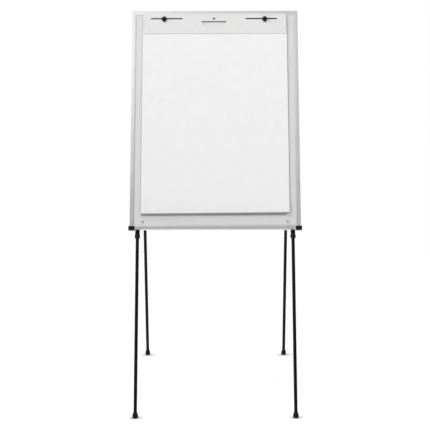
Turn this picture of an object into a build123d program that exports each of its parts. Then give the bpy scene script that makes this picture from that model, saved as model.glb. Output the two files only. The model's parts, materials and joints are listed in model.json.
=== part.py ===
from build123d import *
from math import cos, radians, sin, sqrt, tan
import os

# Four-legged flipchart easel with a steel dry-erase board, a pad header with two sliding
# pegs, a paper pad, and telescopic legs whose rear pair folds flat behind the board.
#
# Row frame, millimetres: +Z up, the board faces -Y, X runs across, and the origin is on the
# floor below the middle of the footprint.
#
# Board frame: X across, Y back from the front face of the frame rails, Z up along the board
# from the floor. Leg frame: Z up along a leg's axis from where that axis meets the floor.
# Rear frame: origin on the fold hinge's axis, Z along the rear legs, whose feet are at -Z.

# Driving dimensions
BOARD_TILT = 24.0           # degrees that the board and front legs lean back from upright
REAR_TILT = 17.5            # degrees that the rear legs lean forward from upright
FRAME_WIDTH = 737.0
FRAME_LENGTH = 1016.0
FRAME_BOTTOM = 824.0        # board frame height of the frame's lower edge
LEG_X = 334.5               # leg axes from the middle plane

# Frame rails
RAIL_DEPTH = 17.0
RAIL_FACE = 19.0
RAIL_BOX = 8.0              # width of the hollow outer box of a rail
RAIL_WALL = 1.3
BEVEL_START = 13.5          # where the flat of the face ends and the inner bevel starts
BEVEL_DROP = 0.6
REAR_LIP = 16.0
LIP = 1.5
KEY_ARM = 42.0

# Board panel
PANEL_FRONT = 1.5
PANEL_BACK = 12.5
SKIN = 0.5
PANEL_INSET = 8.3

# Pad header
PLATE_FRONT = -6.2
PLATE = 1.2
PLATE_HALF = 318.5
PLATE_TOP = 16.6            # from the frame's upper edge down to the plate's
PLATE_HEIGHT = 94.4
PLATE_CORNER = 13.0
HEADER_X = -3.7             # middle of the slots, grip, screw and channel
SLOT_Z = 40.0               # from the frame's upper edge down to the peg slots
SLOT_INNER = 140.0
SLOT_OUTER = 281.0
SLOT_WIDTH = 6.0
GRIP_TOP = 52.2             # hand grip flap, from the frame's upper edge down
GRIP_BOTTOM = 80.0
GRIP_TOP_HALF = 54.4
GRIP_BOTTOM_HALF = 38.5
GRIP_GAP = 4.6              # between the cut's upper edge and the flap
GRIP_HOLE_R = 2.6
GRIP_LEAN = 7.0             # degrees
DIMPLE_X = (104.0, 289.5)
DIMPLE_Z = 99.2

# Peg channel and pegs
CHANNEL_HALF = 292.0
CHANNEL_HEIGHT = 20.0
CHANNEL_SLOT = 7.0
CHANNEL_WALL = 1.2
RIVET_R = 2.0
RIVET_X = (90.0, 270.0)
HEADER_SCREW_R = 2.0
HEADER_HEAD_R = 4.5
PEG_X = {"left": -225.0, "right": 222.4}
STUD_R = 2.5
KNOB_THICK = 7.0
KNOB_HOLE = 5.0
KNOB_R = 8.8
KNOB_RISE = -0.6            # of the knob's round upper lobe above the peg's axis
KNOB_WING = (8.3, 6.2)      # its side corners, across and below the axis
KNOB_WING_R = 2.2
KNOB_TIP = 16.4             # from the peg's axis to the knob's point
KNOB_TIP_R = 2.4

# Paper pad
PAD_WIDTH = 641.0
PAD_LENGTH = 864.0
PAD_BOTTOM = 62.0           # from the frame's lower edge up
PAD_FRONT = -3.5
CARD_FRONT = 0.5

# Legs
AXIS_DEPTH = 28.0           # front leg axes behind the frame's front face
TUBE_R = 10.0
TUBE_BORE = 9.0
INNER_R = 7.25
INNER_BORE = 6.25
RUNNING = 0.10              # radial clearance of the sliding and turning fits
SEAT = 0.05                 # radial clearance where two pieces are fixed together
TUBE_BELOW_FRAME = 23.0
INNER_OVERLAP = 200.0       # inner tube inside its outer tube
FRONT_TUBE_TOP = 1805.0
REAR_TUBE = (14.0, 960.0)   # rear outer tube, from the hinge axis down
FOOT_R = 12.0
FOOT_CENTRE_HEIGHT = 9.0    # of the foot's rounded end above the floor
FOOT_TOP = 26.0
SOCKET = 18.0               # inner tube inside its foot
COLLAR_ABOVE = 6.0          # collar above and below the outer tube's end
COLLAR_BELOW = 10.0
COLLAR_R = 11.9
FLUTES = 12

# Fold hinge
HINGE_Z = 1815.0            # board frame
HINGE_DEPTH = 53.0
HEAD_BACK = 41.0
KNUCKLE_R = 8.5
KNUCKLE_HALF = 9.0
CHEEK_INNER = 9.3
CHEEK_OUTER = 13.3
CHEEK_R = 9.0
PIN_R = 3.0
STOP_R = 2.5

# Brackets and their bolts
BRACKET_HALF_HEIGHT = 12.0
BRACKET_HALF = 13.0
BRACKET_BACK = 40.5
BOLT_X = 312.0
LOWER_BOLT = 33.0           # above the frame's lower edge
UPPER_BOLT = 63.0           # below the frame's upper edge
BOLT_R = 2.5
EAR_BACK = 18.5

# Cross bar between the rear tubes
BAR_DROP = 850.0            # below the hinge axis
BAR_R = 7.0
BAR_HALF = 318.0
BAR_SCREW_X = 308.0
BAR_SCREW_R = 1.6
STUB_R = 9.0

FRAME_TOP = FRAME_BOTTOM + FRAME_LENGTH
FRAME_MIDDLE = FRAME_BOTTOM + FRAME_LENGTH / 2
HALF_WIDTH = FRAME_WIDTH / 2
SLOT_LINE = FRAME_TOP - SLOT_Z
CHANNEL_FRONT = PLATE_FRONT + PLATE
CHANNEL_FLOOR = PANEL_FRONT - CHANNEL_WALL
WASHER_BACK = PLATE_FRONT - 0.2
WASHER_FRONT = WASHER_BACK - 1.0
KNOB_BACK = WASHER_FRONT - 0.2

# Where the axes meet the floor, and the middle of the footprint, from the board frame's origin
LEAN, REAR_LEAN = radians(BOARD_TILT), radians(REAR_TILT)
HINGE_Y_ROW = HINGE_Z * sin(LEAN) + HINGE_DEPTH * cos(LEAN)
HINGE_Z_ROW = HINGE_Z * cos(LEAN) - HINGE_DEPTH * sin(LEAN)
FRONT_AXIS_START = AXIS_DEPTH * tan(LEAN)
REAR_AXIS_LENGTH = HINGE_Z_ROW / cos(REAR_LEAN)
FRONT_FOOT_Y = AXIS_DEPTH / cos(LEAN) + FOOT_CENTRE_HEIGHT * tan(LEAN)
REAR_FOOT_Y = HINGE_Y_ROW + (HINGE_Z_ROW - FOOT_CENTRE_HEIGHT) * tan(REAR_LEAN)
MIDDLE_Y = (FRONT_FOOT_Y + REAR_FOOT_Y) / 2

# Outer tube ends in the leg frames
FRONT_END = FRAME_BOTTOM - TUBE_BELOW_FRAME - FRONT_AXIS_START
REAR_END = REAR_AXIS_LENGTH - REAR_TUBE[1]

SIDES = {"left": -1, "right": 1}


# Placing

def on_board(shape):
    """Board frame to row frame."""
    return Pos(0, -MIDDLE_Y, 0) * Rot(X=-BOARD_TILT) * shape


def on_rear(shape):
    """Rear frame to row frame."""
    return Pos(0, HINGE_Y_ROW - MIDDLE_Y, HINGE_Z_ROW) * Rot(X=REAR_TILT) * shape


def on_front_leg(shape, side):
    """A front leg's frame to row frame."""
    return on_board(Pos(side * LEG_X, AXIS_DEPTH, FRONT_AXIS_START) * shape)


def on_rear_leg(shape, side):
    """A rear leg's frame to row frame."""
    return on_rear(Pos(side * LEG_X, 0, -REAR_AXIS_LENGTH) * shape)


def mirrored(shape):
    """A shape and its mirror image across the middle plane."""
    return shape + mirror(shape, about=Plane.YZ)


# Shape helpers

def slab(outline, front, back):
    """An outline in the board's plane, given depth from front to back."""
    return Pos(0, back, 0) * extrude(Plane.XZ * outline, back - front)


def block(x, y, z):
    """A box between two values on each axis."""
    size = [high - low for low, high in (x, y, z)]
    middle = [(high + low) / 2 for low, high in (x, y, z)]
    return Pos(*middle) * Box(*size)


def ring(outer, inner, low, high):
    """A tube along Z; inner 0 makes it a rod."""
    section = Circle(outer) - Circle(inner) if inner else Circle(outer)
    return Pos(0, 0, low) * extrude(section, high - low)


def rod_x(radius, x, y, z):
    """A rod along X between two x values."""
    return Pos(x[0], y, z) * Rot(Y=90) * ring(radius, 0, 0, x[1] - x[0])


def rod_y(radius, x, y, z):
    """A rod along Y between two y values."""
    return Pos(x, y[0], z) * Rot(X=-90) * ring(radius, 0, 0, y[1] - y[0])


def turned(edges):
    """A solid turned about Z from closed edges drawn as radius and height."""
    return revolve(Plane.XZ * make_face(edges), axis=Axis.Z)


# Board

def rail(length):
    """One mitred frame rail: X inward from its outer edge, Y back, Z along its length."""
    outline = Polyline(
        (0, 0), (BEVEL_START, 0), (RAIL_FACE, BEVEL_DROP), (RAIL_FACE, LIP), (RAIL_BOX, LIP),
        (RAIL_BOX, PANEL_BACK), (REAR_LIP, PANEL_BACK), (REAR_LIP, PANEL_BACK + LIP),
        (RAIL_BOX, PANEL_BACK + LIP), (RAIL_BOX, RAIL_DEPTH), (0, RAIL_DEPTH), close=True,
    )
    chamber = Pos(RAIL_BOX / 2, RAIL_DEPTH / 2) * Rectangle(
        RAIL_BOX - 2 * RAIL_WALL, RAIL_DEPTH - 2 * RAIL_WALL
    )
    section = make_face(outline)
    outer_corners = section.vertices().group_by(Axis.X)[0]
    section = fillet(outer_corners, 1.0) - chamber
    bar = Pos(0, 0, -length / 2) * extrude(section, length)
    half, face = length / 2, RAIL_FACE
    mitre = make_face(Polyline(
        (0, -half), (face, face - half), (face, half - face), (0, half), close=True
    ))
    return bar & slab(mitre, -1, RAIL_DEPTH + 1)


def frame_rails():
    side, cross = rail(FRAME_LENGTH), rail(FRAME_WIDTH)
    return {
        "frame_rail_left": Pos(-HALF_WIDTH, 0, FRAME_MIDDLE) * side,
        "frame_rail_right": Pos(HALF_WIDTH, 0, FRAME_MIDDLE) * Rot(Y=180) * side,
        "frame_rail_bottom": Pos(0, 0, FRAME_BOTTOM) * Rot(Y=-90) * cross,
        "frame_rail_top": Pos(0, 0, FRAME_TOP) * Rot(Y=90) * cross,
    }


def corner_keys():
    """Four angle keys inside the rails' hollow boxes."""
    gap = RAIL_WALL + 0.1
    thick = RAIL_BOX - 2 * gap
    arm = block((0, KEY_ARM), (gap, RAIL_DEPTH - gap), (0, thick))
    arm += block((0, thick), (gap, RAIL_DEPTH - gap), (0, KEY_ARM))
    lower = mirrored(Pos(gap - HALF_WIDTH, 0, FRAME_BOTTOM + gap) * arm)
    return lower + mirror(lower, about=Plane(origin=(0, 0, FRAME_MIDDLE), z_dir=(0, 0, 1)))


def corner_cap(side):
    """Moulded shoe over a lower corner of the frame."""
    proud, wall, under = 4.4, 1.5, 2.6
    across, up, back = 22.7, 14.8, 13.0
    outer = block(
        (-HALF_WIDTH - proud, across - HALF_WIDTH), (-wall, back),
        (FRAME_BOTTOM - under, FRAME_BOTTOM + up),
    )
    outer = fillet(outer.edges().filter_by(Axis.Y).group_by(Axis.X)[0], 2.2)
    outer = fillet(outer.faces().sort_by(Axis.Y)[0].edges(), 0.8)
    inner = block(
        (-HALF_WIDTH, HALF_WIDTH), (0, RAIL_DEPTH), (FRAME_BOTTOM, FRAME_TOP)
    )
    shoe = outer - inner
    return shoe if side < 0 else mirror(shoe, about=Plane.YZ)


def panel_holes():
    """Holes through the panel for the bracket bolts and the channel's rivets."""
    holes = Part()
    for side in SIDES.values():
        for z in (FRAME_BOTTOM + LOWER_BOLT, FRAME_TOP - UPPER_BOLT):
            holes += rod_y(BOLT_R + 0.1, side * BOLT_X, (0, RAIL_DEPTH), z)
        for x in RIVET_X:
            holes += rod_y(RIVET_R + SEAT, HEADER_X + side * x, (0, RAIL_DEPTH), SLOT_LINE)
    return holes


def panel_layers():
    """Steel face, core and back sheet of the board."""
    depths = {
        "writing_surface": (PANEL_FRONT, PANEL_FRONT + SKIN),
        "board_core": (PANEL_FRONT + SKIN, PANEL_BACK - SKIN),
        "back_sheet": (PANEL_BACK - SKIN, PANEL_BACK),
    }
    half = HALF_WIDTH - PANEL_INSET
    span = (FRAME_BOTTOM + PANEL_INSET, FRAME_TOP - PANEL_INSET)
    holes = panel_holes()
    return {name: block((-half, half), depth, span) - holes for name, depth in depths.items()}


# Pad header

def trapezoid(top_half, bottom_half, top, bottom):
    """A trapezoid in the board's plane, symmetric about the header's middle."""
    return Pos(HEADER_X, 0) * make_face(Polyline(
        (-top_half, top), (top_half, top), (bottom_half, bottom), (-bottom_half, bottom), close=True
    ))


def grip_flap():
    """Tongue of the hand grip, bent in about its lower edge."""
    top, bottom = FRAME_TOP - GRIP_TOP, FRAME_TOP - GRIP_BOTTOM
    outline = trapezoid(GRIP_TOP_HALF - 2.8, GRIP_BOTTOM_HALF - 1.0, top - GRIP_GAP, bottom - 1.5)
    tongue = slab(outline, PLATE_FRONT, PLATE_FRONT + PLATE)
    bend = Axis((0, PLATE_FRONT + PLATE / 2, bottom), (1, 0, 0))
    return tongue.rotate(bend, -GRIP_LEAN)


def dimple(x):
    """Pressed dimple that bears on the pad, as a bump and the hollow in front of it."""
    radius, depth = 6.0, 1.4
    centre = Pos(x, PLATE_FRONT + PLATE + depth - radius, FRAME_TOP - DIMPLE_Z)
    bump = centre * Sphere(radius) & block(
        (x - radius, x + radius), (PLATE_FRONT + PLATE / 2, 0),
        (FRAME_TOP - DIMPLE_Z - radius, FRAME_TOP - DIMPLE_Z + radius),
    )
    return bump, centre * Sphere(radius - 1.1)


def header_plate():
    """Folded steel plate that covers the pad's upper edge, with peg slots and a hand grip."""
    upper, lower = FRAME_TOP - PLATE_TOP, FRAME_TOP - PLATE_TOP - PLATE_HEIGHT
    outline = Pos(0, (upper + lower) / 2) * Rectangle(2 * PLATE_HALF, PLATE_HEIGHT)
    outline = fillet(outline.vertices().group_by(Axis.Y)[-1], PLATE_CORNER)
    middle = (SLOT_INNER + SLOT_OUTER) / 2
    slot = SlotOverall(SLOT_OUTER - SLOT_INNER, SLOT_WIDTH)
    outline -= Pos(HEADER_X - middle, SLOT_LINE) * slot
    outline -= Pos(HEADER_X + middle, SLOT_LINE) * slot
    outline -= Pos(HEADER_X, SLOT_LINE) * Circle(HEADER_SCREW_R + 0.1)
    top, bottom = FRAME_TOP - GRIP_TOP, FRAME_TOP - GRIP_BOTTOM
    outline -= trapezoid(GRIP_TOP_HALF, GRIP_BOTTOM_HALF, top, bottom)
    for side in SIDES.values():
        outline -= Pos(HEADER_X + side * (GRIP_TOP_HALF - 2.0), top - 1.4) * Circle(GRIP_HOLE_R)
    plate = slab(outline, PLATE_FRONT, PLATE_FRONT + PLATE)
    reach = PLATE_HALF - PLATE_CORNER
    plate += block((-reach, reach), (PLATE_FRONT, 0.2), (upper - PLATE, upper))
    plate += grip_flap()
    for side in SIDES.values():
        for x in DIMPLE_X:
            bump, hollow = dimple(side * x)
            plate = plate + bump - hollow
    return plate


def peg_channel():
    """C channel behind the peg slots, open to the front."""
    half, wall = CHANNEL_HEIGHT / 2, CHANNEL_WALL
    span = (-CHANNEL_HALF, CHANNEL_HALF)
    channel = block(span, (CHANNEL_FRONT, PANEL_FRONT), (SLOT_LINE - half, SLOT_LINE + half))
    channel -= block(span, (CHANNEL_FRONT + wall, CHANNEL_FLOOR),
                     (SLOT_LINE - half + wall, SLOT_LINE + half - wall))
    channel -= block(span, (CHANNEL_FRONT, CHANNEL_FLOOR),
                     (SLOT_LINE - CHANNEL_SLOT / 2, SLOT_LINE + CHANNEL_SLOT / 2))
    for side in SIDES.values():
        for x in RIVET_X:
            channel -= rod_y(RIVET_R + SEAT, side * x, (-1, 3), SLOT_LINE)
    return Pos(HEADER_X, 0, 0) * channel


def channel_rivets():
    """Rivets flush in the channel's floor, headed behind the board."""
    rivets = Part()
    for x in RIVET_X:
        rivets += rod_y(RIVET_R, x, (CHANNEL_FLOOR, PANEL_BACK + 0.9), SLOT_LINE)
        rivets += rod_y(3.6, x, (PANEL_BACK, PANEL_BACK + 0.9), SLOT_LINE)
    return Pos(HEADER_X, 0, 0) * mirrored(rivets)


def header_screw():
    """Domed screw that fixes the plate to the channel."""
    head = rod_y(HEADER_HEAD_R, HEADER_X, (PLATE_FRONT - 2.2, PLATE_FRONT), SLOT_LINE)
    head = fillet(head.edges().sort_by(Axis.Y)[0], 1.4)
    return head + rod_y(HEADER_SCREW_R, HEADER_X, (PLATE_FRONT, CHANNEL_FLOOR - 0.4), SLOT_LINE)


def header_nut():
    nut = block((-7, 7), (CHANNEL_FRONT + CHANNEL_WALL, CHANNEL_FLOOR - 1.0),
                (SLOT_LINE - 7, SLOT_LINE + 7))
    return Pos(HEADER_X, 0, 0) * (nut - rod_y(HEADER_SCREW_R + SEAT, 0, (-10, 10), SLOT_LINE))


# Pegs: a T-headed stud in the channel, a washer on the plate and a pointed thumb knob

def peg_stud(x):
    head = block((x - 8, x + 8), (CHANNEL_FRONT + CHANNEL_WALL + 0.4, CHANNEL_FLOOR - 0.4),
                 (SLOT_LINE - 8.2, SLOT_LINE + 8.2))
    reach = (KNOB_BACK - KNOB_HOLE + 0.6, CHANNEL_FRONT + CHANNEL_WALL + 1.0)
    return head + rod_y(STUD_R, x, reach, SLOT_LINE)


def peg_washer(x):
    disc = rod_y(6.5, x, (WASHER_FRONT, WASHER_BACK), SLOT_LINE)
    return disc - rod_y(STUD_R + SEAT, x, (-20, 0), SLOT_LINE)


def peg_knob(x):
    """Knob with a round upper lobe and a point that hangs down when the peg is clamped."""
    across, below = KNOB_WING
    wings = [Pos(side * across, -below) * Circle(KNOB_WING_R) for side in SIDES.values()]
    tip = Pos(0, KNOB_TIP_R - KNOB_TIP) * Circle(KNOB_TIP_R)
    arrow = make_hull(wings[0].edges() + wings[1].edges() + tip.edges() + Circle(4.0).edges())
    outline = Pos(0, KNOB_RISE) * Circle(KNOB_R) + arrow
    waist = [outline.vertices().sort_by_distance((side * KNOB_R, -2.5, 0))[0]
             for side in SIDES.values()]
    outline = Pos(x, SLOT_LINE) * fillet(waist, 1.5)
    body = slab(outline, KNOB_BACK - KNOB_THICK, KNOB_BACK - 1.5)
    body = fillet(body.faces().sort_by(Axis.Y)[0].edges(), 1.4)
    body += rod_y(6.0, x, (KNOB_BACK - 1.5, KNOB_BACK), SLOT_LINE)
    return body - rod_y(STUD_R + SEAT, x, (KNOB_BACK - KNOB_HOLE, KNOB_BACK + 1), SLOT_LINE)


# Pad

def pad_span():
    low = FRAME_BOTTOM + PAD_BOTTOM
    return (low, low + PAD_LENGTH)


def pad_backing():
    return block((-PAD_WIDTH / 2, PAD_WIDTH / 2), (CARD_FRONT, PANEL_FRONT), pad_span())


def pad_paper():
    return block((-PAD_WIDTH / 2, PAD_WIDTH / 2), (PAD_FRONT, CARD_FRONT), pad_span())


# Leg brackets, bolted through the board

def leg_bracket(side, z):
    """Moulded block round a front tube, with an ear for its bolt."""
    span = (z - BRACKET_HALF_HEIGHT, z + BRACKET_HALF_HEIGHT)
    body = block((LEG_X - BRACKET_HALF, LEG_X + BRACKET_HALF), (PANEL_BACK, BRACKET_BACK), span)
    body = fillet(body.faces().sort_by(Axis.Y)[-1].edges().filter_by(Axis.Z), 6.0)
    body += block((BOLT_X - 8, LEG_X - 10), (PANEL_BACK, EAR_BACK), span)
    body -= Pos(LEG_X, AXIS_DEPTH, z - 20) * ring(TUBE_R + SEAT, 0, 0, 40)
    body -= rod_y(BOLT_R + 0.1, BOLT_X, (0, 30), z)
    return body if side > 0 else mirror(body, about=Plane.YZ)


def bracket_bolts():
    """Through bolts whose low domed heads show on the board's face."""
    bolts = Part()
    for z in (FRAME_BOTTOM + LOWER_BOLT, FRAME_TOP - UPPER_BOLT):
        head = rod_y(4.3, BOLT_X, (PANEL_FRONT - 2.2, PANEL_FRONT), z)
        head = fillet(head.edges().sort_by(Axis.Y)[0], 1.4)
        bolts += head + rod_y(BOLT_R, BOLT_X, (PANEL_FRONT, EAR_BACK + 5.0), z)
    return mirrored(bolts)


def bracket_nuts():
    nuts = Part()
    for z in (FRAME_BOTTOM + LOWER_BOLT, FRAME_TOP - UPPER_BOLT):
        outline = Pos(BOLT_X, z) * (RegularPolygon(4.6, 6) - Circle(BOLT_R + SEAT))
        nuts += slab(outline, EAR_BACK, EAR_BACK + 4.0)
    return mirrored(nuts)


# Telescopic leg pieces, each in its leg's frame

def inner_tube(end):
    return ring(INNER_R, INNER_BORE, FOOT_TOP - SOCKET, end + INNER_OVERLAP)


def guide_plug(end):
    """Plug on the inner tube's upper end that guides it in the outer tube."""
    top = end + INNER_OVERLAP
    plug = ring(TUBE_BORE - RUNNING, 0, top, top + 12)
    plug = fillet(plug.edges().sort_by(Axis.Z)[-1], 1.5)
    return plug + ring(INNER_BORE - SEAT, 0, top - 18, top)


def foot(tilt):
    """Rubber foot with a rounded end, before the floor plane trims it flat."""
    centre = FOOT_CENTRE_HEIGHT / cos(radians(tilt))
    low = centre - FOOT_R
    bend = FOOT_R * sin(radians(45))
    rounded = ThreePointArc((0, low), (bend, centre - bend), (FOOT_R, centre))
    flare = Spline((FOOT_R, centre), (FOOT_R - 1.1, centre + 7.0), (INNER_R + 1.1, FOOT_TOP - 1.0),
                   tangents=((0, 1), (-0.4, 1)))
    socket = FOOT_TOP - SOCKET - 0.5
    rim = Polyline((INNER_R + 1.1, FOOT_TOP - 1.0), (INNER_R + 0.8, FOOT_TOP),
                   (INNER_R + SEAT, FOOT_TOP), (INNER_R + SEAT, socket), (0, socket), (0, low))
    return turned(rounded.edges() + flare.edges() + rim.edges())


def collet(end):
    """Slotted bush in the outer tube's end; the collar squeezes its fingers on the inner tube."""
    bore = INNER_R + RUNNING
    bush = ring(TUBE_BORE - SEAT, bore, end, end + 25)
    bush += ring(TUBE_R + 0.4, bore, end - 2, end)
    bush += ring(bore + 0.85, bore, end - 7, end - 2)
    saw = block((-10, 10), (-0.5, 0.5), (end - 8, end - 2.5))
    return bush - saw - Rot(Z=90) * saw


def collar(end):
    """Fluted twist collar round the outer tube's end."""
    top, bottom = end + COLLAR_ABOVE, end - COLLAR_BELOW
    shoulder = (COLLAR_R - 0.5, end - 5.5)
    bulge = ThreePointArc((TUBE_R + 0.9, top), (COLLAR_R, end - 1.8), shoulder)
    nose = ThreePointArc(shoulder, (COLLAR_R - 1.6, end - 8.2), (INNER_R + 1.3, bottom))
    inside = Polyline(
        (INNER_R + 1.3, bottom), (INNER_R + 0.45, bottom), (INNER_R + 0.45, end - 8.5),
        (INNER_R + 1.35, end - 7.3), (TUBE_R + 0.75, end - 2.4), (TUBE_R + 0.75, end + 0.4),
        (TUBE_R + RUNNING, end + 0.4), (TUBE_R + RUNNING, top), (TUBE_R + 0.9, top),
    )
    body = turned(bulge.edges() + nose.edges() + inside.edges())
    for turn in range(FLUTES):
        flute = Rot(Z=360 * turn / FLUTES) * Pos(COLLAR_R + 0.55, 0, 0) * ring(1.0, 0, bottom, top)
        body -= flute
    return body


def floor_trim(shape):
    """The part of a placed shape that is above the floor."""
    box = shape.bounding_box()
    margin = 1.0
    return shape & block((box.min.X - margin, box.max.X + margin),
                         (box.min.Y - margin, box.max.Y + margin), (0, box.max.Z + margin))


# Fold hinge

def stop_centre():
    """Depth and height of the stop pin that the open rear frame rests on."""
    angle = LEAN + REAR_LEAN
    along, aside = 10.0, TUBE_BORE - SEAT + STOP_R + 0.35
    return (HINGE_DEPTH + along * sin(angle) + aside * cos(angle),
            HINGE_Z - along * cos(angle) + aside * sin(angle))


def hinge_head(side):
    """Head on a front tube's upper end, with two cheeks for the hinge and stop pins."""
    low = FRONT_TUBE_TOP - 12.0
    body = block((-CHEEK_OUTER, CHEEK_OUTER), (PANEL_BACK, HEAD_BACK), (low, HINGE_Z + 8.5))
    stop_y, stop_z = stop_centre()
    hinge_boss = Pos(HINGE_DEPTH, HINGE_Z) * Circle(CHEEK_R)
    stop_boss = Pos(stop_y, stop_z) * Circle(5.0)
    root = Pos(HEAD_BACK - 6, HINGE_Z - 0.25) * Rectangle(4, 17)
    web = make_hull(root.edges() + hinge_boss.edges() + stop_boss.edges())
    for start in (-CHEEK_OUTER, CHEEK_INNER):
        body += Pos(start, 0, 0) * extrude(Plane.YZ * web, CHEEK_OUTER - CHEEK_INNER)
    span = (-CHEEK_OUTER - 1, CHEEK_OUTER + 1)
    body -= rod_x(PIN_R + 0.02, span, HINGE_DEPTH, HINGE_Z)
    body -= rod_x(STOP_R + 0.02, span, stop_y, stop_z)
    body -= Pos(0, AXIS_DEPTH, low - 1) * ring(TUBE_R + SEAT, 0, 0, FRONT_TUBE_TOP - low + 1.3)
    return Pos(side * LEG_X, 0, 0) * body


def hinge_pins():
    """Headed pins through the cheeks and knuckles."""
    pin = rod_x(PIN_R, (-CHEEK_OUTER, CHEEK_OUTER + 1.0), HINGE_DEPTH, HINGE_Z)
    pin += rod_x(5.0, (-CHEEK_OUTER - 1.8, -CHEEK_OUTER), HINGE_DEPTH, HINGE_Z)
    pin += rod_x(4.4, (CHEEK_OUTER, CHEEK_OUTER + 1.2), HINGE_DEPTH, HINGE_Z)
    return mirrored(Pos(-LEG_X, 0, 0) * pin)


def stop_pins():
    stop_y, stop_z = stop_centre()
    return mirrored(Pos(-LEG_X, 0, 0) * rod_x(STOP_R, (-CHEEK_OUTER, CHEEK_OUTER), stop_y, stop_z))


def rear_knuckle(side):
    """Knuckle on the hinge pin, plugged into the rear tube's upper end."""
    body = rod_x(KNUCKLE_R, (-KNUCKLE_HALF, KNUCKLE_HALF), 0, 0)
    body += ring(TUBE_BORE - SEAT, 0, -45, 0) & block((-9, 9), (-9, 9), (-45, -3))
    body -= rod_x(PIN_R + 0.06, (-10, 10), 0, 0)
    return Pos(side * LEG_X, 0, 0) * body


# Cross bar

def cross_bar():
    bar = Pos(-BAR_HALF, 0, -BAR_DROP) * Rot(Y=90) * ring(BAR_R, BAR_R - 1.0, 0, 2 * BAR_HALF)
    for side in SIDES.values():
        bar -= rod_y(BAR_SCREW_R + SEAT, side * BAR_SCREW_X, (2, 20), -BAR_DROP)
    return bar


def bar_clamp(side):
    """Moulded clamp round a rear tube with a socket for the bar."""
    clamp = Pos(LEG_X, 0, -BAR_DROP) * ring(TUBE_R + 2.5, 0, -11, 11)
    clamp += rod_x(STUB_R, (BAR_HALF - 20, LEG_X - 6), 0, -BAR_DROP)
    clamp -= Pos(LEG_X, 0, -BAR_DROP) * ring(TUBE_R + SEAT, 0, -12, 12)
    clamp -= rod_x(BAR_R + SEAT, (BAR_HALF - 21, BAR_HALF + 0.3), 0, -BAR_DROP)
    clamp -= rod_y(BAR_SCREW_R + SEAT, BAR_SCREW_X, (2, 20), -BAR_DROP)
    return clamp if side > 0 else mirror(clamp, about=Plane.YZ)


def bar_screws():
    screw = rod_y(BAR_SCREW_R, BAR_SCREW_X, (BAR_R - 2.5, STUB_R + 1), -BAR_DROP)
    screw += rod_y(3.2, BAR_SCREW_X, (STUB_R + 0.1, STUB_R + 2.0), -BAR_DROP)
    return mirrored(screw)


# Assembly

def build():
    """Every node, in the row frame."""
    board = {}
    board.update(frame_rails())
    board.update(panel_layers())
    board["corner_keys"] = corner_keys()
    board["header_plate"] = header_plate()
    board["header_screw"] = header_screw()
    board["header_nut"] = header_nut()
    board["peg_channel"] = peg_channel()
    board["channel_rivets"] = channel_rivets()
    board["pad_backing"] = pad_backing()
    board["pad_paper"] = pad_paper()
    board["bracket_bolts"] = bracket_bolts()
    board["bracket_nuts"] = bracket_nuts()
    board["hinge_pins"] = hinge_pins()
    board["hinge_stop_pins"] = stop_pins()
    board["leg_brackets_lower"] = sum_of(leg_bracket(side, FRAME_BOTTOM + LOWER_BOLT)
                                         for side in SIDES.values())
    board["leg_brackets_upper"] = sum_of(leg_bracket(side, FRAME_TOP - UPPER_BOLT)
                                         for side in SIDES.values())
    rear = {"cross_bar": cross_bar(), "cross_bar_screws": bar_screws()}
    for name, side in SIDES.items():
        board[f"corner_cap_{name}"] = corner_cap(side)
        board[f"hinge_head_{name}"] = hinge_head(side)
        board[f"peg_stud_{name}"] = peg_stud(PEG_X[name])
        board[f"peg_washer_{name}"] = peg_washer(PEG_X[name])
        board[f"peg_knob_{name}"] = peg_knob(PEG_X[name])
        rear[f"rear_knuckle_{name}"] = rear_knuckle(side)
        rear[f"cross_bar_clamp_{name}"] = bar_clamp(side)
    nodes = {name: on_board(shape) for name, shape in board.items()}
    nodes.update({name: on_rear(shape) for name, shape in rear.items()})
    for name, side in SIDES.items():
        for place, row, tilt, end, tube_top in (
            (on_front_leg, "front", BOARD_TILT, FRONT_END, FRONT_TUBE_TOP - FRONT_AXIS_START),
            (on_rear_leg, "rear", REAR_TILT, REAR_END, REAR_AXIS_LENGTH - REAR_TUBE[0]),
        ):
            leg = f"{row}_{name}"
            nodes[f"outer_tube_{leg}"] = place(ring(TUBE_R, TUBE_BORE, end, tube_top), side)
            nodes[f"inner_tube_{leg}"] = place(inner_tube(end), side)
            nodes[f"guide_plug_{leg}"] = place(guide_plug(end), side)
            nodes[f"twist_collar_{leg}"] = place(collar(end), side)
            nodes[f"foot_{leg}"] = floor_trim(place(foot(tilt), side))
    nodes["collets_front"] = sum_of(on_front_leg(collet(FRONT_END), side) for side in SIDES.values())
    nodes["collets_rear"] = sum_of(on_rear_leg(collet(REAR_END), side) for side in SIDES.values())
    return nodes


def sum_of(shapes):
    """Several separate solids as one node."""
    total = Part()
    for shape in shapes:
        total += shape
    return total


def report_sizes():
    """The places that the joints and mounts need, in the row frame."""
    patch = sqrt(FOOT_R ** 2 - FOOT_CENTRE_HEIGHT ** 2)
    print("hinge axis y z", HINGE_Y_ROW - MIDDLE_Y, HINGE_Z_ROW)
    print("front foot y", FRONT_FOOT_Y - MIDDLE_Y, "rear foot y", REAR_FOOT_Y - MIDDLE_Y)
    print("flat radius under a foot", patch)
    front, rear = on_front_leg(Vertex(0, 0, FRONT_END), 1), on_rear_leg(Vertex(0, 0, REAR_END), 1)
    print("front tube end", tuple(front.center()), "rear tube end", tuple(rear.center()))
    print("peg axes", PEG_X, tuple(on_board(Vertex(0, PLATE_FRONT, SLOT_LINE)).center()))


os.makedirs("parts", exist_ok=True)
for node, solid in build().items():
    export_step(solid, f"parts/{node}.step")
report_sizes()
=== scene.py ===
"""Looks of the flipchart easel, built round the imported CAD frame. Lengths are in metres.

Row frame: +Z up, the board faces -Y. Board axes are the row frame turned back by the board's
tilt: X across, Y back into the board, Z up along it. Rear axes are turned with the rear legs.
"""

import json
import math
import random

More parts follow.
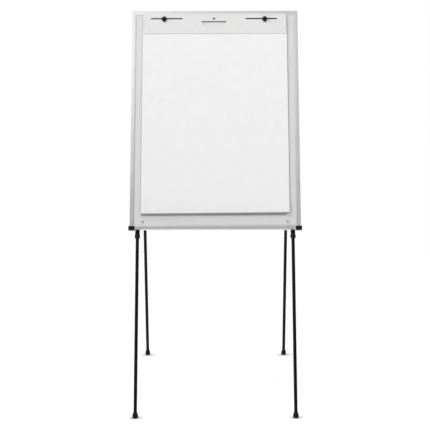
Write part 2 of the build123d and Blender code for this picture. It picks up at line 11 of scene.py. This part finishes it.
import bmesh
import bpy
from mathutils import Matrix, Vector, noise


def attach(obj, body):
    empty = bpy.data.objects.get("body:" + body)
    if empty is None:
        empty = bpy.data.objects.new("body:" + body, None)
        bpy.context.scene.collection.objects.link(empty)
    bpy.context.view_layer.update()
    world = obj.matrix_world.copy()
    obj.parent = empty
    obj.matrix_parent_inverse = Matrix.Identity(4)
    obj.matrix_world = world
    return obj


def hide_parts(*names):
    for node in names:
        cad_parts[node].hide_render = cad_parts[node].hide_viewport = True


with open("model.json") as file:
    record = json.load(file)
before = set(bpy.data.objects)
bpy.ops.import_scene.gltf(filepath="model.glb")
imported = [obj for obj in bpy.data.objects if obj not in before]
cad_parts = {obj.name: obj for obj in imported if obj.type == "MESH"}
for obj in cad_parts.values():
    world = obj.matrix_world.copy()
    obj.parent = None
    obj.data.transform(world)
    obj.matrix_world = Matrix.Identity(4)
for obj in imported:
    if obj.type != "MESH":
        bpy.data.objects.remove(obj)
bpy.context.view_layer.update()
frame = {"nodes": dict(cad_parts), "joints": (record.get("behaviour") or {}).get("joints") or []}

MM = 0.001
ALUMINIUM = 0.7            # how light the bare metal is
JOINTS = {joint["name"]: joint for joint in frame["joints"]}


# Axes that the pieces are drawn in

def turn_to(joint_name):
    """Rotation about X that takes +Z to a leg joint's axis."""
    _, y, z = JOINTS[joint_name]["axis"]
    return Matrix.Rotation(-math.atan2(y, z), 4, "X")


BOARD = turn_to("leg_slide_front_left")
REAR = turn_to("leg_slide_rear_left")


def box_in(turn, node):
    """Lowest and highest corner of a CAD node in turned axes."""
    back = turn.inverted()
    points = [back @ v.co for v in frame["nodes"][node].data.vertices]
    low = Vector([min(p[axis] for p in points) for axis in range(3)])
    high = Vector([max(p[axis] for p in points) for axis in range(3)])
    return low, high


# Procedural finishes

class Finish:
    """A material being wired: a Principled shader, and short calls that add its nodes."""

    def __init__(self, name, turn=None, **sockets):
        self.material = bpy.data.materials.new(name)
        self.material.use_nodes = True
        self.tree = self.material.node_tree
        self.shader = self.tree.nodes["Principled BSDF"]
        for socket, value in sockets.items():
            self.shader.inputs[socket.replace("_", " ")].default_value = value
        self.place = self.add("TexCoord").outputs["Object"]
        if turn is not None:
            back = self.add("Mapping", Vector=self.place)
            back.inputs["Rotation"].default_value = turn.inverted().to_euler()
            self.place = back.outputs[0]

    def add(self, kind, settings=None, **inputs):
        """A new node; inputs are its sockets' names with what feeds them."""
        node = self.tree.nodes.new("ShaderNode" + kind)
        for setting, value in (settings or {}).items():
            setattr(node, setting, value)
        for socket, value in inputs.items():
            self.feed(node.inputs[socket], value)
        return node

    def feed(self, socket, value):
        if isinstance(value, bpy.types.NodeSocket):
            self.tree.links.new(value, socket)
        else:
            socket.default_value = value

    def scaled(self, stretch):
        node = self.add("VectorMath", {"operation": "MULTIPLY"})
        self.feed(node.inputs[0], self.place)
        node.inputs[1].default_value = stretch
        return node.outputs[0]

    def noise(self, size, detail=3.0, rough=0.5, stretch=(1, 1, 1)):
        """Noise with features about size across, and longer on an axis where stretch is small."""
        return self.add("TexNoise", Vector=self.scaled(stretch), Scale=1 / size, Detail=detail,
                        Roughness=rough).outputs["Fac"]

    def cells(self, size):
        """Cells about size across, as the distance from each one's middle."""
        return self.add("TexVoronoi", Vector=self.place, Scale=1 / size).outputs["Distance"]

    def along(self, axis):
        """One coordinate of the place vector, in metres."""
        return self.add("SeparateXYZ", Vector=self.place).outputs[axis]

    def ranged(self, value, source, target):
        """value taken from one range to another and held inside it."""
        node = self.add("MapRange", Value=value)
        for socket, number in zip(("From Min", "From Max", "To Min", "To Max"), source + target):
            node.inputs[socket].default_value = number
        return node.outputs["Result"]

    def maths(self, operation, a, b=0.0):
        node = self.add("Math", {"operation": operation})
        self.feed(node.inputs[0], a)
        self.feed(node.inputs[1], b)
        return node.outputs[0]

    def blend(self, share, a, b):
        """Colour a at share 0 and colour b at share 1."""
        node = self.add("Mix", {"data_type": "RGBA"})
        self.feed(node.inputs[0], share)
        for socket, value in zip(node.inputs[6:8], (a, b)):
            self.feed(socket, value if isinstance(value, bpy.types.NodeSocket) else (*value, 1))
        return node.outputs[2]

    def gaps(self, reach):
        """1 in the open, falling to 0 inside gaps narrower than about reach: the mask by which
        painted shade darkens gaps.
        """
        near = self.add("AmbientOcclusion", {"samples": 8}, Distance=reach).outputs["AO"]
        return self.ranged(near, (0.35, 0.9), (0.0, 1.0))

    def colour(self, value):
        self.feed(self.shader.inputs["Base Color"], value)

    def roughness(self, value):
        self.feed(self.shader.inputs["Roughness"], value)

    def bump(self, *layers):
        """Heights from 0 to 1 with the metres that each stands for, laid over one another."""
        normal = None
        for height, metres in layers:
            node = self.add("Bump", Height=height, Distance=metres, Strength=1.0)
            if normal is not None:
                self.feed(node.inputs["Normal"], normal)
            normal = node.outputs["Normal"]
        self.feed(self.shader.inputs["Normal"], normal)


def anodised(name, turn, stretch):
    """Satin anodised extrusion: die lines along it, cloudy tone and faint handling marks."""
    f = Finish(name, turn, Metallic=1.0)
    lines = f.noise(0.5 * MM, 2.0, 0.6, stretch)
    clouds = f.noise(60 * MM, 3.0)
    tone = f.maths("ADD", f.maths("MULTIPLY", lines, 0.7), f.maths("MULTIPLY", clouds, 0.3))
    low, high = [ALUMINIUM * share for share in (0.93, 1.05)]
    f.colour(f.blend(f.ranged(tone, (0.3, 0.7), (0.0, 1.0)), (low, low, low * 1.005),
                     (high, high, high * 1.01)))
    marks = f.noise(14 * MM, 4.0, 0.65)
    f.roughness(f.ranged(marks, (0.35, 0.75), (0.36, 0.48)))
    f.bump((lines, 0.012 * MM), (f.noise(0.35 * MM, 2.0), 0.004 * MM))
    return f.material


def enamel(name, turn, tint, gloss):
    """Baked enamel on sheet steel: orange peel, wiped-off haze, and painted shade darkening its
    colour inside gaps and creases.
    """
    f = Finish(name, turn, Coat_Weight=0.25, Coat_Roughness=0.12)
    haze = f.noise(90 * MM, 4.0, 0.55, (1.0, 1.0, 0.5))
    wipes = f.noise(9 * MM, 3.0, 0.6, (0.25, 1.0, 1.0))
    dull = [part * 0.965 for part in tint]
    # painted shade: the colour falls to a quarter of the tint inside gaps and creases
    painted_gap_shade = [part * 0.25 for part in tint]
    clean = f.blend(f.ranged(haze, (0.4, 0.75), (0.0, 1.0)), tint, dull)
    # painted shade, not dirt, darkens the enamel in its gaps
    f.colour(f.blend(f.gaps(8 * MM), painted_gap_shade, clean))
    f.roughness(f.ranged(wipes, (0.3, 0.8), (gloss, gloss + 0.12)))
    f.bump((f.noise(2.2 * MM, 2.0, 0.4), 0.02 * MM), (wipes, 0.006 * MM))
    return f.material


def paper(name):
    """Uncoated pad paper: fibres, a faint cloud and soft waves across the sheet."""
    f = Finish(name, BOARD, Sheen_Weight=0.06, Specular_IOR_Level=0.25)
    cloud = f.noise(45 * MM, 4.0, 0.6)
    fibres = f.noise(0.6 * MM, 4.0, 0.7, (0.5, 1.0, 1.0))
    f.colour(f.blend(f.ranged(cloud, (0.35, 0.7), (0.0, 1.0)), (0.905, 0.905, 0.9),
                     (0.88, 0.882, 0.885)))
    f.roughness(f.ranged(fibres, (0.3, 0.7), (0.82, 0.95)))
    waves = f.noise(70 * MM, 2.0, 0.4, (0.25, 1.0, 1.0))
    f.bump((fibres, 0.02 * MM), (waves, 0.5 * MM))
    return f.material


def powder_coat(name, turn, base=0.004):
    """Semi-gloss black powder coat: fine texture, and rubbed streaks along the tube."""
    f = Finish(name, turn, Specular_IOR_Level=0.1)
    grain = f.noise(0.8 * MM, 3.0, 0.6)
    streaks = f.noise(1.6 * MM, 3.0, 0.65, (1.0, 1.0, 0.03))
    worn = f.ranged(streaks, (0.62, 0.8), (0.0, 1.0))
    f.colour(f.blend(worn, (base, base, base * 1.05), (base * 3, base * 3, base * 3)))
    f.roughness(f.ranged(f.noise(25 * MM), (0.3, 0.7), (0.34, 0.46)))
    f.bump((grain, 0.03 * MM), (streaks, 0.01 * MM))
    return f.material


def moulded(name, base, rough, grain=0.7 * MM):
    """Moulded plastic with a spark-eroded texture and paler rubbed patches."""
    f = Finish(name, None, Specular_IOR_Level=0.2)
    texture = f.noise(grain, 3.0, 0.55)
    rubbed = f.ranged(f.noise(11 * MM, 4.0, 0.6), (0.5, 0.8), (0.0, 1.0))
    pale = [part * 1.6 + 0.003 for part in base]
    f.colour(f.blend(rubbed, base, pale))
    f.roughness(f.ranged(texture, (0.3, 0.7), (rough - 0.06, rough + 0.06)))
    f.bump((texture, 0.035 * MM))
    return f.material


def rubber(name):
    """Matt moulded rubber, dusty where it meets the floor."""
    f = Finish(name, None, Specular_IOR_Level=0.2)
    speckle = f.noise(0.9 * MM, 4.0, 0.65)
    height = f.ranged(f.along("Z"), (0.0, 9 * MM), (1.0, 0.0))
    dust = f.maths("MULTIPLY", height, f.ranged(f.noise(2.5 * MM, 4.0), (0.35, 0.7), (0.0, 0.5)))
    f.colour(f.blend(dust, (0.008, 0.008, 0.0083), (0.05, 0.048, 0.044)))
    f.roughness(f.ranged(speckle, (0.3, 0.7), (0.68, 0.85)))
    f.bump((speckle, 0.05 * MM))
    return f.material


def zinc(name):
    """Bright zinc plate: crystalline mottle and a faint yellow pass."""
    f = Finish(name, None, Metallic=1.0)
    mottle = f.cells(1.3 * MM)
    patches = f.noise(6 * MM, 3.0)
    f.colour(f.blend(f.ranged(patches, (0.35, 0.7), (0.0, 1.0)), (0.46, 0.465, 0.47),
                     (0.44, 0.42, 0.37)))
    f.roughness(f.ranged(mottle, (0.0, 0.8), (0.3, 0.48)))
    f.bump((mottle, 0.008 * MM), (f.noise(0.4 * MM), 0.01 * MM))
    return f.material


def blackened(name):
    """Oiled black oxide on steel."""
    f = Finish(name, None, Specular_IOR_Level=0.2)
    stain = f.noise(3 * MM, 4.0, 0.6)
    f.colour(f.blend(f.ranged(stain, (0.35, 0.7), (0.0, 1.0)), (0.006, 0.006, 0.0062),
                     (0.018, 0.016, 0.014)))
    f.roughness(f.ranged(stain, (0.3, 0.7), (0.32, 0.5)))
    f.bump((f.noise(0.3 * MM, 2.0), 0.01 * MM))
    return f.material


def rolled_sheet(name):
    """Coated aluminium back sheet: rolling lines up the board, and a soft mottle."""
    f = Finish(name, BOARD, Metallic=0.75)
    lines = f.noise(0.7 * MM, 3.0, 0.6, (1.0, 1.0, 0.015))
    mottle = f.noise(55 * MM, 4.0, 0.6)
    tone = f.maths("ADD", f.maths("MULTIPLY", lines, 0.4), f.maths("MULTIPLY", mottle, 0.6))
    f.colour(f.blend(f.ranged(tone, (0.35, 0.65), (0.0, 1.0)), (0.36, 0.365, 0.37),
                     (0.44, 0.445, 0.45)))
    f.roughness(f.ranged(mottle, (0.3, 0.7), (0.42, 0.58)))
    f.bump((lines, 0.02 * MM))
    return f.material


def board_fibre(name, pale, dark):
    """Pressed grey or brown board with darker fibres."""
    f = Finish(name, BOARD, Specular_IOR_Level=0.2)
    fibres = f.noise(0.9 * MM, 5.0, 0.75, (0.35, 1.0, 1.0))
    f.colour(f.blend(f.ranged(fibres, (0.4, 0.7), (0.0, 1.0)), pale, dark))
    f.roughness(f.ranged(fibres, (0.3, 0.7), (0.85, 0.95)))
    f.bump((fibres, 0.06 * MM))
    return f.material


ACROSS = (0.01, 1.0, 1.0)
UP = (1.0, 1.0, 0.01)
WHITE = (0.72, 0.722, 0.718)

RAIL_UP = anodised("anodised_up", BOARD, UP)
RAIL_ACROSS = anodised("anodised_across", BOARD, ACROSS)
FACE_ENAMEL = enamel("board_enamel", BOARD, WHITE, 0.32)
HEADER_ENAMEL = enamel("header_enamel", BOARD, (0.79, 0.79, 0.785), 0.42)
PAPER = paper("pad_paper")
CARD = board_fibre("grey_card", (0.45, 0.43, 0.4), (0.3, 0.285, 0.26))
CORE = board_fibre("core_board", (0.62, 0.5, 0.36), (0.42, 0.32, 0.21))
BACK = rolled_sheet("back_sheet")
TUBE_FRONT = powder_coat("black_tube_front", BOARD)
TUBE_REAR = powder_coat("black_tube_rear", REAR)
CHANNEL = powder_coat("dark_channel", BOARD, 0.03)
RUBBER = rubber("black_rubber")
PLASTIC = moulded("black_plastic", (0.005, 0.005, 0.0053), 0.42)
KNOB = moulded("knob_plastic", (0.005, 0.0047, 0.0045), 0.32, 0.5 * MM)
NYLON = moulded("white_nylon", (0.72, 0.7, 0.66), 0.45)
ZINC = zinc("zinc_steel")
BLACKENED = blackened("black_steel")

NODE_FINISHES = {
    "frame_rail_left": RAIL_UP,
    "frame_rail_right": RAIL_UP,
    "frame_rail_top": RAIL_ACROSS,
    "frame_rail_bottom": RAIL_ACROSS,
    "writing_surface": FACE_ENAMEL,
    "board_core": CORE,
    "back_sheet": BACK,
    "corner_keys": ZINC,
    "header_plate": HEADER_ENAMEL,
    "header_screw": BLACKENED,
    "header_nut": ZINC,
    "peg_channel": CHANNEL,
    "channel_rivets": ZINC,
    "peg_stud": BLACKENED,
    "peg_washer": BLACKENED,
    "peg_knob": KNOB,
    "pad_backing": CARD,
    "pad_paper": PAPER,
    "bracket_bolts": ZINC,
    "bracket_nuts": ZINC,
    "leg_brackets": PLASTIC,
    "corner_cap": PLASTIC,
    "hinge_head": PLASTIC,
    "hinge_pins": ZINC,
    "hinge_stop_pins": ZINC,
    "rear_knuckle": PLASTIC,
    "cross_bar_clamp": PLASTIC,
    "cross_bar_screws": ZINC,
    "cross_bar": TUBE_REAR,
    "outer_tube_front": TUBE_FRONT,
    "inner_tube_front": TUBE_FRONT,
    "outer_tube_rear": TUBE_REAR,
    "inner_tube_rear": TUBE_REAR,
    "guide_plug": NYLON,
    "twist_collar": PLASTIC,
    "collets": NYLON,
    "foot": RUBBER,
}


def paint_nodes():
    """Every CAD node takes the finish of the longest name that it starts with."""
    for node, obj in frame["nodes"].items():
        key = max((name for name in NODE_FINISHES if node.startswith(name)), key=len)
        obj.data.materials.clear()
        obj.data.materials.append(NODE_FINISHES[key])


# Mesh helpers

def piece(name, bm, material, turn, sharp=35):
    """An object from a finished bmesh drawn in turned axes."""
    bmesh.ops.recalc_face_normals(bm, faces=bm.faces)
    mesh = bpy.data.meshes.new(name)
    bm.to_mesh(mesh)
    bm.free()
    mesh.materials.append(material)
    mesh.polygons.foreach_set("use_smooth", [True] * len(mesh.polygons))
    mesh.set_sharp_from_angle(angle=math.radians(sharp))
    obj = bpy.data.objects.new(name, mesh)
    bpy.context.scene.collection.objects.link(obj)
    obj.matrix_world = turn
    return obj


def in_fixed_order(bm):
    """The same mesh with its points and faces sorted, as a bevel leaves them in any order."""
    points = sorted(tuple(vert.co) for vert in bm.verts)
    places = {point: place for place, point in enumerate(points)}
    faces = []
    for face in bm.faces:
        corners = [places[tuple(vert.co)] for vert in face.verts]
        first = corners.index(min(corners))
        faces.append(corners[first:] + corners[:first])
    bm.free()
    fixed = bmesh.new()
    verts = [fixed.verts.new(point) for point in points]
    for corners in sorted(faces):
        fixed.faces.new([verts[place] for place in corners])
    return fixed


def stand_for(obj, node, body):
    """obj rides on body in place of a CAD node."""
    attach(obj, body)
    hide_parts(node)


# Paper pad

LEAVES = 14
LEAF_COLUMNS = 28
LEAF_ROWS = 64
LEAF_CROWDING = 1.8        # power that draws the rows towards the curled lower edge
LEAF_FILL = 0.86           # thickness of a leaf as a share of the leaves' pitch
LEAF_SHIFT = (0.5, 0.4)    # most that a leaf is off across and up, in millimetres
CURL_LENGTH = 95 * MM      # of the leaves' lower part that bends forward
CURL_LIFT = 7.0 * MM
CURL_POWER = 2.2
REAR_CURL = 0.25           # the rear leaf's curl as a share of the front leaf's
LIP_LENGTH = 15 * MM       # of the sharper bend at their lower edge
LIP_LIFT = 5.5 * MM
CORNER_CURL = 0.15         # extra curl at both lower corners
LEFT_CURL = 0.08           # extra curl on the left, and less on the right
WAVE_LIFT = 0.12 * MM      # of the unevenness over the sheet
WAVES = (6, 9)             # of it per metre, across and up
EDGE_RISE = 6.0 * MM       # of the curled front leaf's lower edge above the card's
EDGE_SKEW = 2.6 * MM       # more of it to the right and less to the left
FAN = 3.0 * MM             # of the rear leaves' lower edges above the front leaf's
CARD_SHORT = 15 * MM       # by which the card is narrower than the leaves on its right
CARD_SKEW = 2.0 * MM       # of the card's lower edge below its CAD edge on the left
CARD_CORNER = 5 * MM       # worn off the card's lower right corner
CARD_CORNER_RISE = 0.6     # height of the worn corner as a share of its width
CARD_CORNER_STEPS = 5
CARD_TRIM = 2 * MM         # cut off the card's lower left corner
CARD_WEAR = 0.35           # unevenness of the card's lower edge, in millimetres
CARD_SPAN = 24             # divisions of that edge
CARD_ROUND = 0.2 * MM      # of the card's edges


def leaf_lift(share, across, height):
    """How far a leaf stands forward; share is 1 for the front leaf, across runs -1 to 1."""
    near = max(0.0, 1 - height / CURL_LENGTH)
    lip = max(0.0, 1 - height / LIP_LENGTH)
    corners = 1 + CORNER_CURL * across ** 2 - LEFT_CURL * across
    depth = REAR_CURL + (1 - REAR_CURL) * share
    return corners * depth * (CURL_LIFT * near ** CURL_POWER + LIP_LIFT * lip ** 2)


def leaf_edge(share, across):
    """How far a leaf's lower edge is above the card's."""
    return EDGE_RISE + EDGE_SKEW * across + FAN * (1 - share)


def add_leaf(bm, low, high, thickness, share):
    """A closed thin leaf whose lower end curls forward; low and high are its corners."""
    rows = []
    for row in range(LEAF_ROWS + 1):
        climb = (row / LEAF_ROWS) ** LEAF_CROWDING
        line = []
        for column in range(LEAF_COLUMNS + 1):
            across = 2 * column / LEAF_COLUMNS - 1
            bottom = low.z + leaf_edge(share, across)
            height = climb * (high.z - bottom)
            x = low.x + (high.x - low.x) * column / LEAF_COLUMNS
            z = bottom + height
            wave = noise.noise(Vector((x * WAVES[0], 0.3, z * WAVES[1])))
            forward = leaf_lift(share, across, height) + WAVE_LIFT * share * wave * (1 - climb)
            front = bm.verts.new((x, low.y - forward, z))
            back = bm.verts.new((x, low.y - forward + thickness, z))
            line.append((front, back))
        rows.append(line)
    for lower, upper in zip(rows, rows[1:]):
        for side in range(2):
            for a, b, c, d in zip(lower, lower[1:], upper[1:], upper):
                bm.faces.new([corner[side] for corner in (a, b, c, d)])
        for a, b in ((lower[0], upper[0]), (lower[-1], upper[-1])):
            bm.faces.new((a[0], b[0], b[1], a[1]))
    for line in (rows[0], rows[-1]):
        for a, b in zip(line, line[1:]):
            bm.faces.new((a[0], b[0], b[1], a[1]))


def make_leaves():
    """The pad's sheets as a stack of leaves with slightly uneven edges."""
    low, high = box_in(BOARD, "pad_paper")
    pitch = (high.y - low.y) / LEAVES
    shake = random.Random(5)
    bm = bmesh.new()
    for leaf in range(LEAVES):
        share = 1 - leaf / LEAVES
        shift = Vector((shake.uniform(0, LEAF_SHIFT[0]), 0, shake.uniform(0, LEAF_SHIFT[1]))) * MM
        start = Vector((low.x, low.y + leaf * pitch, low.z)) + shift
        end = high - Vector((shake.uniform(0, LEAF_SHIFT[0]) * MM, 0, 0))
        add_leaf(bm, start, end, pitch * LEAF_FILL, share)
    leaves = piece("pad_leaves", bm, PAPER, BOARD)
    stand_for(leaves, "pad_paper", "board")


def make_card():
    """The pad's card back, with worn edges and a rubbed-off corner."""
    low, high = box_in(BOARD, "pad_backing")
    high.x -= CARD_SHORT
    wear = random.Random(9)
    outline = [(low.x, high.z), (low.x, low.z + CARD_TRIM - CARD_SKEW)]
    for step in range(CARD_SPAN):
        share = step / CARD_SPAN
        x = low.x + CARD_TRIM * (1 - share) + (high.x - CARD_CORNER - low.x) * share
        outline.append((x, low.z - CARD_SKEW * (1 - share) + wear.uniform(0, CARD_WEAR) * MM))
    for step in range(CARD_CORNER_STEPS + 1):
        turn = math.radians(90 * step / CARD_CORNER_STEPS)
        outline.append((high.x - CARD_CORNER * (1 - math.sin(turn)),
                        low.z + CARD_CORNER * CARD_CORNER_RISE * (1 - math.cos(turn))))
    outline.append((high.x, high.z))
    bm = bmesh.new()
    face = bm.faces.new([bm.verts.new((x, low.y, z)) for x, z in outline])
    sheet = bmesh.ops.extrude_face_region(bm, geom=[face])["geom"]
    bmesh.ops.translate(bm, vec=(0, high.y - low.y, 0),
                        verts=[part for part in sheet if isinstance(part, bmesh.types.BMVert)])
    bmesh.ops.bevel(bm, geom=bm.edges[:], offset=CARD_ROUND, segments=2, affect="EDGES")
    bmesh.ops.triangulate(bm, faces=[face for face in bm.faces if len(face.verts) > 4])
    card = piece("pad_card", in_fixed_order(bm), CARD, BOARD)
    stand_for(card, "pad_backing", "board")


# Knobs

DOME_STEPS = 4
DOME_RISE = 1.0 * MM       # of the knob's domed face above its flat CAD face
DOME_STEP = 0.8 * MM       # how much narrower each step of the dome is
WELD = 0.002 * MM          # below which the CAD mesh's points are one point
FLUSH = 0.01 * MM          # within which its points count as on the flat face
FIN_SEAT = 0.9             # where the fin starts, as a share of the dome's rise
FIN_HALF = 1.3 * MM        # half the width of the grip fin down the middle of the face
FIN_SLIM = 0.35            # share of that width left at the fin's ends
FIN_RISE = 2.0 * MM
FIN_END = 0.3 * MM         # the fin's rise at its ends
FIN_ROOT = 0.4 * MM        # how deep the fin is set into the dome
FIN_SPAN = (0.12, 0.9)     # the fin's ends as shares of the knob's height
FIN_ROWS = 16
FIN_COLUMNS = 8


def add_fin(bm, low, high):
    """A rounded upright fin on the knob's face, thinning towards its ends."""
    middle = (low.x + high.x) / 2
    bottom, top = [low.z + (high.z - low.z) * share for share in FIN_SPAN]
    rows = []
    for row in range(FIN_ROWS + 1):
        swell = math.sin(math.pi * row / FIN_ROWS) ** 0.5
        z = bottom + (top - bottom) * row / FIN_ROWS
        line = []
        for column in range(FIN_COLUMNS + 1):
            turn = math.pi * column / FIN_COLUMNS
            x = middle - FIN_HALF * (FIN_SLIM + (1 - FIN_SLIM) * swell) * math.cos(turn)
            y = low.y + FIN_ROOT - (FIN_END + FIN_RISE * swell) * math.sin(turn)
            line.append(bm.verts.new((x, y, z)))
        rows.append(line)
    for lower, upper in zip(rows, rows[1:]):
        for a, b, c, d in zip(lower, lower[1:], upper[1:], upper):
            bm.faces.new((a, b, c, d))
        bm.faces.new((lower[0], upper[0], upper[-1], lower[-1]))
    for line in (rows[0], rows[-1]):
        bm.faces.new(line)


def make_knob(side):
    """A thumb knob with a domed face and a grip fin, grown from the CAD outline."""
    node = f"peg_knob_{side}"
    low, high = box_in(BOARD, node)
    bm = bmesh.new()
    bm.from_mesh(frame["nodes"][node].data)
    bmesh.ops.transform(bm, matrix=BOARD.inverted(), verts=bm.verts[:])
    bmesh.ops.remove_doubles(bm, verts=bm.verts[:], dist=WELD)
    flat = [face for face in bm.faces if all(v.co.y < low.y + FLUSH for v in face.verts)]
    for step in range(DOME_STEPS):
        rise = DOME_RISE * (0.5 ** (step + 1))
        bmesh.ops.inset_region(bm, faces=flat, thickness=DOME_STEP, depth=rise)
    low.y -= DOME_RISE * FIN_SEAT
    add_fin(bm, low, high)
    knob = piece(f"knob_{side}", bm, KNOB, BOARD, sharp=50)
    stand_for(knob, node, f"knob_{side}")


# Header screw

SCREW_SIDES = 32
SCREW_SEAT = 2.2 * MM      # the CAD head's height, from its top down to the plate
SCREW_SHANK = ((1.7, 0.0), (2.0, 0.3))    # radius, and depth from the end, in mm
SCREW_HEAD = ((2.0, 0.0), (4.2, 0.0), (4.2, 0.6), (4.0, 1.3), (3.3, 2.0), (2.3, 2.45),
              (1.4, 2.6), (1.3, 2.5), (1.2, 1.2))   # radius, and height above the plate, in mm


def make_screw():
    """A pan-headed screw with a socket, turned on the CAD screw's line."""
    low, high = box_in(BOARD, "header_screw")
    middle = (low + high) / 2
    profile = [(radius, high.y - depth * MM) for radius, depth in SCREW_SHANK]
    profile += [(radius, low.y + SCREW_SEAT - height * MM) for radius, height in SCREW_HEAD]
    bm = bmesh.new()
    rings = []
    for radius, y in profile:
        ring = []
        for side in range(SCREW_SIDES):
            turn = 2 * math.pi * side / SCREW_SIDES
            x = middle.x + radius * MM * math.cos(turn)
            z = middle.z + radius * MM * math.sin(turn)
            ring.append(bm.verts.new((x, y, z)))
        rings.append(ring)
    for inner, outer in zip(rings, rings[1:]):
        for side in range(SCREW_SIDES):
            after = (side + 1) % SCREW_SIDES
            bm.faces.new((inner[side], inner[after], outer[after], outer[side]))
    bm.faces.new(rings[0])
    bm.faces.new(rings[-1])
    screw = piece("pan_screw", bm, BLACKENED, BOARD)
    stand_for(screw, "header_screw", "board")


# Stage

CAMERA_PLACE = (0.00749, -7.29517, 1.68246)
CAMERA_TURN = (-0.0672, 7.1109, -0.1344)   # yaw right, pitch down and roll, in degrees
CAMERA_LENS = 137.18                       # in millimetres
CAMERA_SENSOR = 36
FLOOR_HALF = 400                           # half the floor's width, in metres
FLOOR_SHADE = 40 * MM                      # how far the painted contact shade about the feet reaches on the floor


def add_camera():
    yaw, pitch, roll = [math.radians(angle) for angle in CAMERA_TURN]
    data = bpy.data.cameras.new("camera")
    data.lens = CAMERA_LENS
    data.sensor_width = CAMERA_SENSOR
    camera = bpy.data.objects.new("camera", data)
    bpy.context.scene.collection.objects.link(camera)
    camera.matrix_world = (
        Matrix.Translation(CAMERA_PLACE) @ Matrix.Rotation(-yaw, 4, "Z")
        @ Matrix.Rotation(math.pi / 2 - pitch, 4, "X") @ Matrix.Rotation(roll, 4, "Z")
    )
    bpy.context.scene.camera = camera


def add_softbox(name, place, aim, size, power):
    data = bpy.data.lights.new(name, "AREA")
    data.shape = "RECTANGLE"
    data.size, data.size_y = size
    data.energy = power
    lamp = bpy.data.objects.new(name, data)
    bpy.context.scene.collection.objects.link(lamp)
    lamp.location = place
    lamp.rotation_euler = (Vector(aim) - Vector(place)).to_track_quat("-Z", "Y").to_euler()


def add_world(light, seen):
    """An even studio room that lights softly and shows as plain white."""
    world = bpy.data.worlds.new("studio")
    bpy.context.scene.world = world
    world.use_nodes = True
    tree = world.node_tree
    tree.nodes.clear()
    output = tree.nodes.new("ShaderNodeOutputWorld")
    mix = tree.nodes.new("ShaderNodeMixShader")
    path = tree.nodes.new("ShaderNodeLightPath")
    tree.links.new(path.outputs["Is Camera Ray"], mix.inputs[0])
    for socket, strength in ((1, light), (2, seen)):
        background = tree.nodes.new("ShaderNodeBackground")
        background.inputs["Color"].default_value = (1, 1, 1, 1)
        background.inputs["Strength"].default_value = strength
        tree.links.new(background.outputs[0], mix.inputs[socket])
    tree.links.new(mix.outputs[0], output.inputs["Surface"])


def add_floor(glow):
    """A pale floor lit evenly from below as well, as a light table is, with painted contact shade
    about the feet darkening its glow and colour.
    """
    f = Finish("pale_floor", None, Specular_IOR_Level=0.2, Emission_Strength=glow)
    # painted contact shade: ambient occlusion near the feet darkens the floor's glow and colour
    near = f.add("AmbientOcclusion", {"samples": 8}, Distance=FLOOR_SHADE).outputs["AO"]
    open_sky = f.ranged(near, (0.7, 0.99), (0.0, 1.0))
    f.feed(f.shader.inputs["Emission Color"], f.blend(open_sky, (0.3, 0.3, 0.3), (1, 1, 1)))
    grain = f.noise(2 * MM, 3.0)
    pale = f.blend(grain, (0.9, 0.9, 0.9), (0.93, 0.93, 0.93))
    # painted shade: the floor's colour falls to grey about the feet
    f.colour(f.blend(open_sky, (0.4, 0.4, 0.4), pale))
    f.roughness(0.8)
    bm = bmesh.new()
    bmesh.ops.create_grid(bm, x_segments=8, y_segments=8, size=FLOOR_HALF)
    piece("floor", bm, f.material, Matrix.Identity(4))


def add_sky_panel(name, toward, spread, strength):
    """Even soft light from far off; toward points at it and spread is its width in degrees."""
    data = bpy.data.lights.new(name, "SUN")
    data.energy = strength
    data.angle = math.radians(spread)
    lamp = bpy.data.objects.new(name, data)
    bpy.context.scene.collection.objects.link(lamp)
    lamp.rotation_euler = Vector(toward).to_track_quat("Z", "Y").to_euler()


def add_lights():
    add_sky_panel("overhead", (-0.2, -0.1, 1.0), 28, 0.32)
    add_sky_panel("side", (-1.0, -0.45, 0.5), 50, 1.3)
    add_softbox("key", (-0.9, -1.5, 3.1), (0, 0, 1.5), (1.0, 1.0), 7.3)
    add_softbox("top", (0.3, -1.6, 3.2), (0, 0, 1.4), (1.4, 1.0), 3.6)
    add_softbox("fill", (1.6, -2.2, 2.2), (0, 0, 1.3), (1.2, 1.2), 7.0)


paint_nodes()
make_leaves()
make_card()
for side in ("left", "right"):
    make_knob(side)
make_screw()

add_camera()
add_world(light=0.26, seen=1.0)
add_floor(glow=0.54)
add_lights()
bpy.context.scene.view_settings.view_transform = "Standard"
